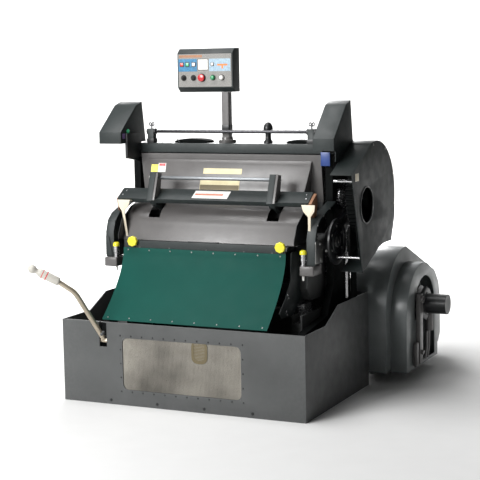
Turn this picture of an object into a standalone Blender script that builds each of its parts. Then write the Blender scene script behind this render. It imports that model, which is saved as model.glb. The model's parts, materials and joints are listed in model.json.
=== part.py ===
"""Platen press of the cutting, creasing and letterpress type, standing on its base.

Metres, +Z up, +X to the operator's right, +Y away from the operator. The origin is on the floor
under the middle of the base. The press is modelled closed, with its platen against the bed.
"""

import math

import bmesh
import bpy
from mathutils import Matrix, Vector

# Driving dimensions
GAP = 0.0003
BASE_HALF_X = 0.70
BASE_HALF_Y = 0.45
SKIRT_FRONT_TOP = 0.44
SKIRT_BACK_TOP = 0.52
SKIRT_WALL = 0.006
BASE_PLATE = 0.02

CHEEK_INNER_X = 0.56
CHEEK_OUTER_X = 0.60
FRAME_TOP = 1.2895
BED_HALF_X = 0.55
BED_FRONT_Y = 0.264
BED_BACK_Y = 0.385
FORME_HEIGHT = 0.0235
BEAM_FRONT_Y = 0.176
BEAM_TOP = 1.34

PLATEN_HALF_X = 0.535
PLATEN_BOTTOM = 0.53
PLATEN_TOP = 1.283
PLATEN_FACE_Y = 0.237
PIVOT = (-0.02, 0.50)
APRON_TOP = (-0.163, 0.797)
APRON_KNEE = (-0.163, 0.66)
APRON_BOTTOM = (-0.412, 0.444)
ARM_LINE = [(-0.108, 0.7333), (-0.108, 0.87), (-0.085, 0.93), (-0.04, 0.968)]
ARM_LINE += [(0.05, 1.0), (0.185, 1.04)]
ARM_WEB = [(-0.105, 0.7333), (-0.105, 0.87), (-0.04, 0.964), (0.0, 0.975)]
ARM_WEB += [(0.02, 0.93), (0.0, 0.7333)]
STUD = (0.09, 0.84)
KNOB_MIDDLE_X = 0.017
KNOB_HALF_SPAN = 0.434
BAR_INNER_X = 0.622
BAR_OUTER_X = 0.650

CRANK = (0.31, 1.06)
CRANK_THROW = 0.144
CRANK_ANGLE = math.radians(20)
CRANK_SHAFT_R = 0.045
CRANK_BORE_R = 0.0458
MODULE = 0.008
BULL_TEETH = 48
PINION_TEETH = 12
GEAR_INNER_X = 0.70
GEAR_OUTER_X = 0.76
COUNTER = (0.4797, 0.8903)
DRIVE = (0.80, 0.41)
CHAIN_X = (0.50, 0.53)
COUNTER_SPROCKET_R = 0.075
DRIVE_SPROCKET_R = 0.0375

GUARD_OUTER_X = 0.81
GUARD_INNER_X = 0.6905
DRUM_R = 0.34
DRUM = (0.79, 0.39)
CLUTCH = (0.81, 0.36)
CLUTCH_MOUTH = (0.85, 0.38)
WALL = 0.004
FLYWHEEL_R = 0.27
MOTOR = (1.20, 0.26)
MOTOR_PULLEY_R = 0.06
LEVER_PIVOT = (-0.452, -0.431, 0.335)
LEVER_ELBOW = (-0.53, -0.585, 0.612)
GRIP_START = (-0.60, -0.62, 0.668)
GRIP_END = (-0.735, -0.70, 0.752)

SIDES = (("right", 1), ("left", -1))


def clear_scene():
    for thing in list(bpy.data.objects):
        bpy.data.objects.remove(thing, do_unlink=True)


def new_collection(name):
    collection = bpy.data.collections.new(name)
    bpy.context.scene.collection.children.link(collection)
    return collection


clear_scene()
PARTS = new_collection("platen_press")
HELPERS = new_collection("cutters")
MATERIALS = {}


def material(name, colour, roughness, metallic=0.0):
    made = bpy.data.materials.new(name)
    made.use_nodes = True
    shader = made.node_tree.nodes["Principled BSDF"]
    shader.inputs["Base Color"].default_value = (*colour, 1)
    shader.inputs["Roughness"].default_value = roughness
    shader.inputs["Metallic"].default_value = metallic
    MATERIALS[name] = made


def make_materials():
    material("dark_paint", (0.035, 0.045, 0.045), 0.45)
    material("grey_paint", (0.13, 0.125, 0.12), 0.40)
    material("green_enamel", (0.01, 0.09, 0.075), 0.40)
    material("black_iron", (0.02, 0.022, 0.022), 0.55)
    material("bright_steel", (0.62, 0.62, 0.62), 0.25, 1.0)
    material("cast_iron", (0.16, 0.16, 0.16), 0.60, 0.6)
    material("yellow_plastic", (0.80, 0.72, 0.02), 0.35)
    material("red_plastic", (0.60, 0.02, 0.02), 0.35)
    material("green_plastic", (0.02, 0.35, 0.06), 0.35)
    material("white_plastic", (0.80, 0.80, 0.78), 0.40)
    material("black_rubber", (0.015, 0.015, 0.015), 0.75)
    material("plywood", (0.42, 0.26, 0.13), 0.60)


def link(name, mesh, finish=None):
    """A new object: one of the press's parts if it has a finish, or else a helper."""
    thing = bpy.data.objects.new(name, mesh)
    if finish:
        PARTS.objects.link(thing)
        mesh.materials.append(MATERIALS[finish])
    else:
        HELPERS.objects.link(thing)
        thing.hide_render = True
        thing.display_type = "WIRE"
    return thing


def box(name, low, high, finish=None, bevel=0.0):
    """A box from its low corner to its high one."""
    low, high = Vector(low), Vector(high)
    shape = bmesh.new()
    bmesh.ops.create_cube(shape, size=1, matrix=Matrix.Diagonal((*(high - low), 1)))
    mesh = bpy.data.meshes.new(name)
    shape.to_mesh(mesh)
    shape.free()
    thing = link(name, mesh, finish)
    thing.location = (low + high) / 2
    if bevel:
        edge = thing.modifiers.new("rounded_edges", "BEVEL")
        edge.width = bevel
        edge.segments = 2
    return thing


def rod(name, start, end, radius, finish=None, end_radius=None, sides=24):
    """A round bar from start to end, or a cone with an end_radius."""
    start, end = Vector(start), Vector(end)
    shape = bmesh.new()
    bmesh.ops.create_cone(
        shape,
        cap_ends=True,
        segments=sides,
        radius1=radius,
        radius2=radius if end_radius is None else end_radius,
        depth=(end - start).length,
        matrix=(end - start).to_track_quat("Z", "Y").to_matrix().to_4x4(),
    )
    mesh = bpy.data.meshes.new(name)
    shape.to_mesh(mesh)
    shape.free()
    mesh.shade_smooth()
    mesh.set_sharp_from_angle(angle=math.radians(35))
    thing = link(name, mesh, finish)
    thing.location = (start + end) / 2
    return thing


def as_mesh(curve_object, name, finish):
    """The curve as a mesh with welded caps. The curve is removed."""
    bpy.context.view_layer.update()
    graph = bpy.context.evaluated_depsgraph_get()
    mesh = bpy.data.meshes.new_from_object(curve_object.evaluated_get(graph))
    shape = bmesh.new()
    shape.from_mesh(mesh)
    bmesh.ops.remove_doubles(shape, verts=shape.verts, dist=1e-5)
    bmesh.ops.recalc_face_normals(shape, faces=shape.faces)
    shape.to_mesh(mesh)
    shape.free()
    mesh.name = name
    mesh.materials.clear()
    thing = link(name, mesh, finish)
    thing.matrix_world = curve_object.matrix_world.copy()
    bpy.data.objects.remove(curve_object, do_unlink=True)
    return thing


def plate_across(name, outline, low_x, high_x, finish=None):
    """A flat outline of (y, z) points, thick along X from low_x to high_x."""
    outline = list(outline)
    curve = bpy.data.curves.new(name, "CURVE")
    curve.dimensions = "2D"
    curve.fill_mode = "BOTH"
    curve.extrude = (high_x - low_x) / 2
    spline = curve.splines.new("POLY")
    spline.points.add(len(outline) - 1)
    for point, (y, z) in zip(spline.points, outline):
        point.co = (y, z, 0, 1)
    spline.use_cyclic_u = True
    flat = bpy.data.objects.new(f"{name}_outline", curve)
    HELPERS.objects.link(flat)
    turn = Matrix(((0, 0, 1), (1, 0, 0), (0, 1, 0))).to_4x4()
    flat.matrix_world = Matrix.Translation(((low_x + high_x) / 2, 0, 0)) @ turn
    return as_mesh(flat, name, finish)


def pipe(name, route, radius, finish=None, sides=2):
    """A round bar bent along the points of a route."""
    curve = bpy.data.curves.new(name, "CURVE")
    curve.dimensions = "3D"
    curve.bevel_depth = radius
    curve.bevel_resolution = sides
    curve.use_fill_caps = True
    spline = curve.splines.new("POLY")
    spline.points.add(len(route) - 1)
    for point, place in zip(spline.points, route):
        point.co = (*place, 1)
    bent = bpy.data.objects.new(f"{name}_route", curve)
    HELPERS.objects.link(bent)
    return as_mesh(bent, name, finish)


def change(thing, operation, others):
    for other in others:
        step = thing.modifiers.new(other.name, "BOOLEAN")
        step.operation = operation
        step.solver = "EXACT"
        step.object = other
    return thing


def cut(thing, *cutters):
    return change(thing, "DIFFERENCE", cutters)


def join(thing, *others):
    return change(thing, "UNION", others)


def arc(centre, radius, start, end, steps):
    """Points on a circle from one angle to another, in degrees."""
    for step in range(steps + 1):
        angle = math.radians(start + (end - start) * step / steps)
        yield centre[0] + radius * math.cos(angle), centre[1] + radius * math.sin(angle)


def hang(name, point, *pieces):
    """An empty on a joint's axis, with the pieces that turn or slide on it."""
    empty = bpy.data.objects.new(name, None)
    PARTS.objects.link(empty)
    empty.location = point
    for piece in pieces:
        piece.parent = empty
        piece.matrix_parent_inverse = Matrix.Translation(point).inverted()


def mirrored(side, low_x, high_x):
    """An X interval on the right, or its mirror image on the left."""
    return (low_x, high_x) if side > 0 else (-high_x, -low_x)


def side_box(name, side, low, high, finish=None, bevel=0.0):
    low_x, high_x = mirrored(side, low[0], high[0])
    return box(name, (low_x, *low[1:]), (high_x, *high[1:]), finish, bevel)


def side_plate(name, side, outline, low_x, high_x, finish=None):
    return plate_across(name, outline, *mirrored(side, low_x, high_x), finish)


def side_rod(name, side, low_x, high_x, centre, radius, finish=None, sides=24):
    low_x, high_x = mirrored(side, low_x, high_x)
    return rod(name, (low_x, *centre), (high_x, *centre), radius, finish, sides=sides)


def gear_outline(centre, teeth, start):
    """Trapezoid teeth of the shared module. start is the angle of a tooth's middle."""
    pitch = MODULE * teeth / 2
    heights = (-1.1, 0.9, 0.9, -1.1)
    places = (-0.375, -0.10, 0.10, 0.375)
    for tooth in range(teeth):
        for height, place in zip(heights, places):
            angle = start + 2 * math.pi * (tooth + place) / teeth
            radius = pitch + height * MODULE
            yield centre[0] + radius * math.cos(angle), centre[1] + radius * math.sin(angle)


def mesh_angle():
    return math.atan2(COUNTER[1] - CRANK[1], COUNTER[0] - CRANK[0])


def bull_outline():
    return gear_outline(CRANK, BULL_TEETH, mesh_angle())


def pinion_outline():
    return gear_outline(COUNTER, PINION_TEETH, mesh_angle() + math.pi + math.pi / PINION_TEETH)


# Base


def make_base():
    outline = [
        (-BASE_HALF_Y, 0),
        (BASE_HALF_Y, 0),
        (BASE_HALF_Y, SKIRT_BACK_TOP),
        (0.003, SKIRT_BACK_TOP),
        (-0.172, SKIRT_FRONT_TOP),
        (-BASE_HALF_Y, SKIRT_FRONT_TOP),
    ]
    skirt = plate_across("base_skirt", outline, -BASE_HALF_X, BASE_HALF_X, "dark_paint")
    inner_x, inner_y = BASE_HALF_X - SKIRT_WALL, BASE_HALF_Y - SKIRT_WALL
    hollow = box("skirt_hollow", (-inner_x, -inner_y, -1), (inner_x, inner_y, 1))
    window = box("skirt_window", (-0.337, -0.5, 0.085), (0.348, -0.4, 0.36))
    pivot_x = LEVER_PIVOT[0]
    slot = box("lever_slot", (pivot_x - 0.022, -0.5, 0.305), (pivot_x + 0.022, -0.4, 0.434))
    cut(skirt, hollow, window, slot)
    ear_y, pin_at = -inner_y - 0.002, LEVER_PIVOT[1:]
    for low_x in (pivot_x - 0.031, pivot_x + 0.024):
        join(skirt, box("lever_ear", (low_x, ear_y, 0.322), (low_x + 0.007, -0.422, 0.348)))
    pin_start, pin_end = (pivot_x - 0.028, *pin_at), (pivot_x + 0.028, *pin_at)
    join(skirt, rod("lever_pin", pin_start, pin_end, 0.005, sides=12))
    edge = (inner_x - GAP, inner_y - GAP)
    plate = box("base_plate", (-edge[0], -edge[1], 0), (*edge, BASE_PLATE), "cast_iron")
    mesh_low = (-0.36, -inner_y + GAP, 0.06)
    mesh_high = (0.37, -inner_y + GAP + 0.002, 0.385)
    box("window_mesh", mesh_low, mesh_high, "bright_steel")
    for name, side in SIDES:
        track = side_box(f"rocker_track_{name}", side, (0.49, -0.13, 0.01), (0.55, 0.16, 0.475))
        groove = side_box(f"track_groove_{name}", side, (0.50, -0.2, 0.43), (0.54, 0.2, 0.6))
        join(plate, track)
        cut(plate, groove)


def make_rear_frame():
    low = (0.30, BASE_HALF_Y + GAP, 0)
    foot = box("rear_frame", low, (0.598, 1.36, 0.05), "cast_iron")
    upright = box("drive_upright", (0.555, 0.70, 0.03), (0.595, 0.94, 0.41))
    boss = rod("drive_boss", (0.545, *DRIVE), (0.598, *DRIVE), 0.12)
    seat = box("motor_seat", (0.33, 1.08, 0.03), (0.55, 1.32, MOTOR[1] - 0.1205))
    bore = rod("drive_bore", (0.5, *DRIVE), (0.7, *DRIVE), 0.0305)
    join(foot, upright, boss, seat)
    cut(foot, bore)


# Fixed frame and bed


def make_cheeks():
    outline = [
        (-0.30, BASE_PLATE + GAP),
        (0.44, BASE_PLATE + GAP),
        (0.44, 0.62),
        (0.56, 0.82),
        (0.56, 1.05),
        (0.42, FRAME_TOP),
        (0.19, FRAME_TOP),
        (0.19, 0.60),
        (0.10, 0.44),
        (-0.20, 0.40),
    ]
    for name, side in SIDES:
        span = (CHEEK_INNER_X, CHEEK_OUTER_X)
        cheek = side_plate(f"side_frame_{name}", side, outline, *span, "dark_paint")
        crank_bore = side_rod(f"crank_bore_{name}", side, 0.5, 0.7, CRANK, CRANK_BORE_R)
        cut(cheek, crank_bore)
        if side > 0:
            cut(cheek, side_rod("counter_bore", side, 0.5, 0.7, COUNTER, 0.0253))


def make_bed():
    low = (-BED_HALF_X, BED_FRONT_Y, 0.46)
    bed = box("bed", low, (BED_HALF_X, BED_BACK_Y, FRAME_TOP), "cast_iron")
    for place in (0.49, 0.75):
        cut(bed, box("bed_pocket", (-0.51, 0.31, place), (0.51, 0.5, place + 0.22)))
    cut(bed, rod("crank_way", (-0.6, *CRANK), (0.6, *CRANK), CRANK_BORE_R))
    back = BED_FRONT_Y - GAP
    chase = box("chase", (-0.53, back - FORME_HEIGHT, 0.535), (0.53, back, 1.275), "bright_steel")
    cut(chase, box("chase_inside", (-0.50, 0.1, 0.565), (0.50, 0.4, 1.245)))
    low = (-0.4995, back - FORME_HEIGHT, 0.5655)
    box("cutting_forme", low, (0.4995, back, 1.2445), "plywood")


def make_top():
    low = (-0.548, BEAM_FRONT_Y, FRAME_TOP + GAP)
    beam = box("top_beam", low, (0.548, 0.42, BEAM_TOP), "dark_paint")
    covers = {
        "right": (0.574, 0.69, 1.318, (0.685, 0.69, 0.01, 0.268)),
        "left": (0.563, 0.70, 1.345, (-0.568, -0.563, 0.05, 0.1895)),
    }
    for name, side in SIDES:
        inner_x, outer_x, lip, skirt = covers[name]
        outline = [(-0.015, lip), (-0.015, lip + 0.063), (0.163, 1.55), (0.231, 1.57), (0.265, lip)]
        cover = side_plate(f"sensor_cover_{name}", side, outline, inner_x, outer_x, "dark_paint")
        hollow = [(-0.012, lip + 0.003), (-0.012, lip + 0.06), (0.165, 1.546), (0.228, 1.566)]
        hollow += [(0.30, 1.1), (0.10, 1.1), (0.10, lip + 0.003)]
        inside = side_plate(f"cover_hollow_{name}", side, hollow, inner_x + 0.003, outer_x - 0.003)
        cut(cover, inside)
        low_x, high_x, low_y, high_y = skirt
        skirt_outline = [(low_y, 1.36), (low_y, 1.262), (high_y, 1.238), (high_y, 1.36)]
        join(cover, plate_across(f"cover_skirt_{name}", skirt_outline, low_x, high_x))
        screw_x = side * 0.483
        post_low = (screw_x - 0.018, 0.177, BEAM_TOP - 0.01)
        post_high = (screw_x + 0.018, 0.213, 1.42)
        join(beam, box(f"bar_clamp_{name}", post_low, post_high))
        stem = (screw_x, 0.195)
        screw = rod(f"wing_screw_{name}", (*stem, 1.4203), (*stem, 1.432), 0.007, "bright_steel")
        for way in (-1, 1):
            wing = (screw_x + way * 0.016, 0.195, 1.452)
            join(screw, rod("wing", (*stem, 1.426), wing, 0.004, end_radius=0.006, sides=12))
        hang(f"wing_screw_axis_{name}", (*stem, 1.42), screw)
    cut(beam, rod("clamp_bore", (-0.6, 0.195, 1.404), (0.6, 0.195, 1.404), 0.0093))
    rod("round_bar", (-0.50, 0.195, 1.404), (0.50, 0.195, 1.404), 0.009, "bright_steel")
    stem_x, stem_y = 0.205, 0.25
    stem_low, stem_high = (stem_x, stem_y, BEAM_TOP + GAP), (stem_x, stem_y, 1.40)
    handle = rod("chase_handle", stem_low, stem_high, 0.012, "black_iron")
    knob_low, knob_high = (stem_x, stem_y, 1.385), (stem_x, stem_y, 1.455)
    join(handle, rod("chase_knob", knob_low, knob_high, 0.026, end_radius=0.014))
    hang("chase_handle_axis", (0.205, 0.25, BEAM_TOP), handle)


# Platen and what rides on it


def make_carriage():
    shaft = rod("rocker_carriage", (-0.538, *PIVOT), (0.538, *PIVOT), 0.0235, "bright_steel")
    for name, side in SIDES:
        low = (0.5005, PIVOT[0] - 0.05, 0.4305)
        high = (0.5395, PIVOT[0] + 0.05, 0.525)
        join(shaft, side_box(f"slide_shoe_{name}", side, low, high))
    hang("carriage_slide", (0, *PIVOT), shaft)


def make_platen():
    section = [
        (PLATEN_FACE_Y - 0.002, PLATEN_BOTTOM),
        (PLATEN_FACE_Y - 0.002, PLATEN_TOP - 0.016),
        (0.19, PLATEN_TOP),
        (0.1785, PLATEN_TOP),
        (0.2125, 1.03),
        (0.2125, 0.985),
        (0.10, 0.975),
        (0.02, 0.80),
        (-0.02, 0.60),
        (0.03, PLATEN_BOTTOM),
    ]
    half = PLATEN_HALF_X
    casting = plate_across("platen_casting", section, -half, half, "cast_iron")
    for place in (-0.36, -0.12, 0.12, 0.36):
        low = (place - 0.10, -0.1, 0.62)
        cut(casting, box("platen_pocket", low, (place + 0.10, 0.15, 0.95)))
    for name, side in SIDES:
        stud = side_rod(f"stud_{name}", side, 0.50, BAR_OUTER_X, STUD, 0.04)
        lug_outline = list(arc(PIVOT, 0.062, 200, 340, 8)) + [(0.10, 0.60), (-0.015, 0.62)]
        lug = side_plate(f"rocker_lug_{name}", side, lug_outline, 0.44, 0.4893)
        bore = side_rod(f"lug_bore_{name}", side, 0.40, 0.499, PIVOT, 0.0238)
        join(casting, stud, lug)
        cut(casting, bore)
    sheet = PLATEN_FACE_Y - 0.0017
    plate_low = (-0.53, sheet, PLATEN_BOTTOM + 0.005)
    plate = box("counter_plate", plate_low, (0.53, PLATEN_FACE_Y + 0.0025, 1.261), "bright_steel")
    return [casting, plate]


def make_platen_covers():
    """The upper back panel with its raised field, the round shroud and the strip below it."""
    lean = [(0.172, 1.284), (0.208, 1.0304), (0.212, 1.0304), (0.176, 1.284)]
    panel = plate_across("back_panel", lean, -0.541, 0.541, "grey_paint")
    field = plate_across(
        "raised_field",
        [(0.209, 1.04), (0.095, 1.04), (0.158, 1.235), (0.168, 1.25), (0.1785, 1.25)],
        -0.49,
        0.49,
    )
    for side in (-1, 1):
        slope = Matrix.Rotation(side * math.radians(9), 4, "Y")
        trim = box("field_trim", (-0.2, -0.2, -0.4), (0.2, 0.3, 0.4))
        trim.matrix_world = Matrix.Translation((side * 0.677, 0.07, 1.12)) @ slope
        cut(field, trim)
    join(panel, field)
    shroud_outer = [(0.207, 1.03), (0.13, 1.03)]
    shroud_outer += list(arc((0.10, 0.86), 0.17, 110, 165, 8))
    shroud_outer += [(-0.10, 0.832), (-0.06, 0.832)]
    shroud_inner = [(y + 0.006, z) for y, z in reversed(shroud_outer[1:-2])]
    outline = shroud_outer[1:-1] + [(-0.094, 0.832)] + shroud_inner
    shroud = plate_across("back_shroud", outline, -0.515, 0.515, "grey_paint")
    for side in (-1, 1):
        place = side * 0.352
        cut(shroud, box("arm_window", (place - 0.034, -0.1, 0.95), (place + 0.034, 0.2, 1.10)))
    strip_outline = [(-0.155, 0.80), (-0.13, 0.829), (-0.035, 0.829), (-0.035, 0.80)]
    strip = plate_across("feed_strip", strip_outline, -0.475, 0.475, "dark_paint")
    return [panel, shroud, strip]


def sheet_outline(line, thickness):
    """A line of (y, z) points made into a sheet: the line, and its copy on the left of its travel."""
    line = [Vector(point) for point in line]
    copy = []
    for place, point in enumerate(line):
        along = line[min(place + 1, len(line) - 1)] - line[max(place - 1, 0)]
        copy.append(point + along.normalized().orthogonal() * thickness)
    return [tuple(point) for point in line + copy[::-1]]


def apron_outline():
    """A sheet that hangs down from the strip and sweeps forward to its lower edge."""
    top, knee, bottom = (Vector(point) for point in (APRON_TOP, APRON_KNEE, APRON_BOTTOM))
    front = []
    for step in range(13):
        part = step / 12
        front.append(bottom.lerp(knee, part).lerp(knee.lerp(top, part), part))
    return sheet_outline(front, -0.003)


def make_platen_trim():
    pieces = [plate_across("apron", apron_outline(), -0.478, 0.478, "green_enamel")]
    for name, side in SIDES:
        block_low, block_high = (0.541, -0.135, 0.683), (0.618, -0.02, 0.733)
        block = side_box(f"bearing_block_{name}", side, block_low, block_high, "grey_paint", 0.004)
        cup_at = (side * 0.5535, -0.112)
        cup = rod(f"oil_cup_{name}", (*cup_at, 0.7333), (*cup_at, 0.80), 0.0145, "bright_steel")
        join(cup, rod("cup_cap", (*cup_at, 0.796), (*cup_at, 0.816), 0.016))
        shell = sheet_outline(ARM_LINE, -0.008)
        cover = side_plate(f"arm_cover_{name}", side, shell, 0.5705, 0.62, "dark_paint")
        join(cover, side_plate(f"arm_web_{name}", side, ARM_WEB, 0.5705, 0.578))
        knob_x = KNOB_MIDDLE_X + side * KNOB_HALF_SPAN
        knob_at, knob_end = (knob_x, -0.155, 0.832), (knob_x, -0.180, 0.832)
        knob = rod(f"strip_knob_{name}", knob_at, knob_end, 0.025, "yellow_plastic", sides=16)
        hang(f"strip_knob_axis_{name}", knob_at, knob)
        pieces += [block, cup, cover]
    return pieces


def make_safety_plank():
    """The tilted board on two arms, with a handrail between two brackets."""
    tilt = [(-0.067, 1.053), (0.012, 1.103), (0.020, 1.090), (-0.05, 1.03)]
    plank = plate_across("safety_plank", tilt, -0.565, 0.565, "dark_paint")
    rail = rod("handrail", (-0.338, -0.012, 1.165), (0.338, -0.012, 1.165), 0.010, "bright_steel")
    for name, side in SIDES:
        post = [(-0.090, 1.046), (-0.012, 1.076), (0.008, 1.19), (-0.036, 1.195)]
        join(plank, side_plate(f"rail_bracket_{name}", side, post, 0.3385, 0.372))
        arm_outline = list(arc((-0.02, 1.045), 0.033, 180, 280, 8))
        arm_outline += list(arc((0.05, 1.0), 0.018, -90, 90, 8))
        arm_outline += [(0.01, 1.085), (-0.03, 1.06)]
        join(plank, side_plate(f"plank_arm_{name}", side, arm_outline, 0.335, 0.369))
    hang("plank_hinge", (0, 0.05, 1.0), plank, rail)


# Crank gear, draw bars and drive


def crank_point():
    along, up = math.cos(CRANK_ANGLE), math.sin(CRANK_ANGLE)
    return CRANK[0] + CRANK_THROW * along, CRANK[1] + CRANK_THROW * up


def make_crank():
    """The cross shaft with a crank web at each end, and the bull gear outside the right web.

    Each crank pin is left out where it would go through the draw bar's eye.
    """
    pin_at = crank_point()
    half = CHEEK_OUTER_X + 0.0015
    left, right = (-half - 0.01, *CRANK), (half + 0.01, *CRANK)
    shaft = rod("crank_shaft", left, right, CRANK_SHAFT_R, "bright_steel")
    heading = math.degrees(CRANK_ANGLE)
    web_outline = list(arc(CRANK, 0.075, heading + 75, heading + 285, 14))
    web_outline += list(arc(pin_at, 0.050, heading - 75, heading + 75, 8))
    for name, side in SIDES:
        join(shaft, side_plate(f"crank_web_{name}", side, web_outline, half, BAR_INNER_X - 0.0035))
    gear = plate_across("bull_gear", bull_outline(), GEAR_INNER_X, GEAR_OUTER_X, "cast_iron")
    cut(gear, rod("gear_recess", (GEAR_OUTER_X - 0.02, *CRANK), (0.9, *CRANK), 0.16))
    hub_start, hub_end = (GEAR_INNER_X - 0.004, *CRANK), (GEAR_OUTER_X + 0.015, *CRANK)
    pin_start, pin_end = (BAR_OUTER_X + 0.0015, *pin_at), (GEAR_INNER_X + 0.02, *pin_at)
    join(gear, rod("gear_hub", hub_start, hub_end, 0.07))
    join(gear, rod("gear_pin", pin_start, pin_end, 0.036))
    hang("crank_axis", (0, *CRANK), shaft, gear)


def make_draw_bars():
    """Curved bars that pull the platen, from its side studs to the crank pins."""
    eye = crank_point()
    middle = (0.335, 0.955)
    for name, side in SIDES:
        span = (BAR_INNER_X, BAR_OUTER_X)
        outline = list(arc(STUD, 0.085, 75, 345, 20))
        outline += [(middle[0], middle[1] - 0.035)]
        outline += list(arc(eye, 0.055, -55, 150, 14))
        outline += [(eye[0] - 0.062, eye[1] - 0.05), (middle[0] - 0.03, middle[1] + 0.028)]
        bar = side_plate(f"draw_bar_{name}", side, outline, *span, "black_iron")
        cut(bar, side_rod(f"bar_bore_{name}", side, 0.5, 0.8, STUD, 0.0405))
        cap = side_rod(f"hub_cap_{name}", side, 0.6503, 0.667, STUD, 0.122, "black_iron", sides=40)
        ring = side_rod(f"cap_ring_{name}", side, 0.661, 0.72, STUD, 0.094, sides=40)
        cut(cap, ring)
        hang(f"draw_bar_axis_{name}", (0, *STUD), bar, cap)


def make_counter_shaft():
    low_x, high_x = CHAIN_X
    shaft = rod("counter_shaft", (low_x - 0.01, *COUNTER), (0.775, *COUNTER), 0.025, "bright_steel")
    pinion = plate_across("pinion", pinion_outline(), GEAR_INNER_X, GEAR_OUTER_X)
    wheel = rod("counter_sprocket", (low_x, *COUNTER), (high_x, *COUNTER), COUNTER_SPROCKET_R)
    join(shaft, pinion, wheel)
    hang("counter_axis", (0, *COUNTER), shaft)


def make_drive_shaft():
    low_x, high_x = CHAIN_X
    shaft = rod("drive_shaft", (low_x - 0.01, *DRIVE), (0.90, *DRIVE), 0.03, "bright_steel")
    cap = rod("shaft_cap", (0.89, *DRIVE), (1.045, *DRIVE), 0.056)
    wheel = rod("drive_sprocket", (low_x, *DRIVE), (high_x, *DRIVE), DRIVE_SPROCKET_R)
    drum = rod("brake_drum", (0.815, *DRIVE), (0.885, *DRIVE), 0.10, sides=32)
    join(shaft, cap, wheel, drum)
    hang("drive_axis", (0, *DRIVE), shaft)


def make_loop(name, first, first_r, second, second_r, low_x, high_x, thickness, finish):
    """A belt or chain round two wheels."""

    def outline(extra):
        away = Vector(second) - Vector(first)
        heading = math.degrees(math.atan2(away.y, away.x))
        lean = math.degrees(math.acos((first_r - second_r) / away.length))
        big = arc(first, first_r + extra, heading + lean, heading + 360 - lean, 30)
        small = arc(second, second_r + extra, heading - lean, heading + lean, 12)
        return list(big) + list(small)

    loop = plate_across(name, outline(thickness), low_x, high_x, finish)
    return cut(loop, plate_across(f"{name}_inside", outline(0.003), low_x - 0.1, high_x + 0.1))


def make_belt_drive():
    wheel = rod("flywheel", (0.63, *DRIVE), (0.70, *DRIVE), FLYWHEEL_R, "cast_iron", sides=48)
    dish = rod("flywheel_dish", (0.67, *DRIVE), (0.80, *DRIVE), 0.25, sides=40)
    boss = rod("flywheel_hub", (0.628, *DRIVE), (0.745, *DRIVE), 0.075)
    cut(wheel, dish)
    join(wheel, boss)
    cut(wheel, rod("flywheel_bore", (0.6, *DRIVE), (0.8, *DRIVE), 0.0305))
    hang("flywheel_axis", (0, *DRIVE), wheel)
    motor = rod("motor", (0.32, *MOTOR), (0.59, *MOTOR), 0.12, "black_iron", sides=32)
    join(motor, box("terminal_box", (0.40, 1.16, 0.36), (0.48, 1.24, 0.42)))
    cut(motor, rod("motor_bore", (0.5, *MOTOR), (0.7, *MOTOR), 0.0143))
    pulley_low, pulley_high = (0.63, *MOTOR), (0.70, *MOTOR)
    pulley = rod("motor_pulley", pulley_low, pulley_high, MOTOR_PULLEY_R, "cast_iron")
    join(pulley, rod("motor_shaft", (0.501, *MOTOR), (0.65, *MOTOR), 0.014))
    hang("motor_axis", (0, *MOTOR), pulley)
    belt_wheels = (DRIVE, FLYWHEEL_R, MOTOR, MOTOR_PULLEY_R)
    make_loop("drive_belts", *belt_wheels, 0.635, 0.695, 0.011, "black_rubber")
    chain_wheels = (COUNTER, COUNTER_SPROCKET_R, DRIVE, DRIVE_SPROCKET_R)
    low_x, high_x = CHAIN_X[0] + 0.004, CHAIN_X[1] - 0.004
    make_loop("drive_chain", *chain_wheels, low_x, high_x, 0.012, "cast_iron")


def make_guards():
    rim, tip = (0.29, 1.07), (0.52, 0.80)
    outline = list(arc(rim, 0.286, 104, 0, 12))
    outline += [(0.574, 0.93), tip, (0.40, 0.80), (0.33, 0.79), (0.07, 0.685), (-0.075, 1.20)]
    inner = [(0.20, 1.338)] + list(arc(rim, 0.282, 104, 0, 12))
    inner += [(0.570, 0.931), (tip[0] - 0.003, 0.804), (0.40, 0.804), (0.328, 0.794)]
    inner += [(-0.2, 0.573), (-0.4, 1.067)]
    guard = plate_across("gear_guard", outline, GUARD_INNER_X, GUARD_OUTER_X, "dark_paint")
    cut(guard, plate_across("guard_hollow", inner, GUARD_INNER_X - 0.1, GUARD_OUTER_X - WALL))
    cut(guard, rod("guard_port", (0.7, 0.14, 1.03), (0.9, 0.14, 1.03), 0.092, sides=32))
    front, low, high = BASE_HALF_Y + GAP, 0.07, 0.36
    back = [(1.33, 0.52), (1.41, 0.44), (1.44, 0.34), (1.44, 0.12), (1.40, low)]
    casing = [(front, low), (front, high)] + list(arc(DRUM, DRUM_R, 178, 88, 14)) + back
    shell = plate_across("belt_guard", casing, 0.60, 0.80, "dark_paint")
    room = [(front + WALL, low + WALL), (front + WALL, high)]
    room += list(arc(DRUM, DRUM_R - WALL, 178, 88, 14))
    room += [(1.327, 0.517), (1.406, 0.438), (1.436, 0.339), (1.436, 0.122), (1.398, 0.074)]
    cut(shell, plate_across("belt_guard_hollow", room, 0.50, 0.80 - WALL))
    cut(shell, rod("belt_guard_bore", (0.7, *DRIVE), (0.9, *DRIVE), 0.035))
    outer = plate_across("clutch_guard", arch_outline(CLUTCH, 0.28, 0.06), 0.8003, 0.893, "dark_paint")
    cut(outer, plate_across("clutch_guard_hollow", arch_outline(CLUTCH, 0.275, 0.065), 0.70, 0.888))
    cut(outer, plate_across("clutch_mouth", arch_outline(CLUTCH_MOUTH, 0.18, 0.08), 0.85, 0.95))


def arch_outline(centre, radius, bottom):
    """A half round on two straight legs."""
    left, right = centre[0] - radius, centre[0] + radius
    return list(arc(centre, radius, 180, 0, 20)) + [(right, bottom), (left, bottom)]


# Operator's controls


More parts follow.
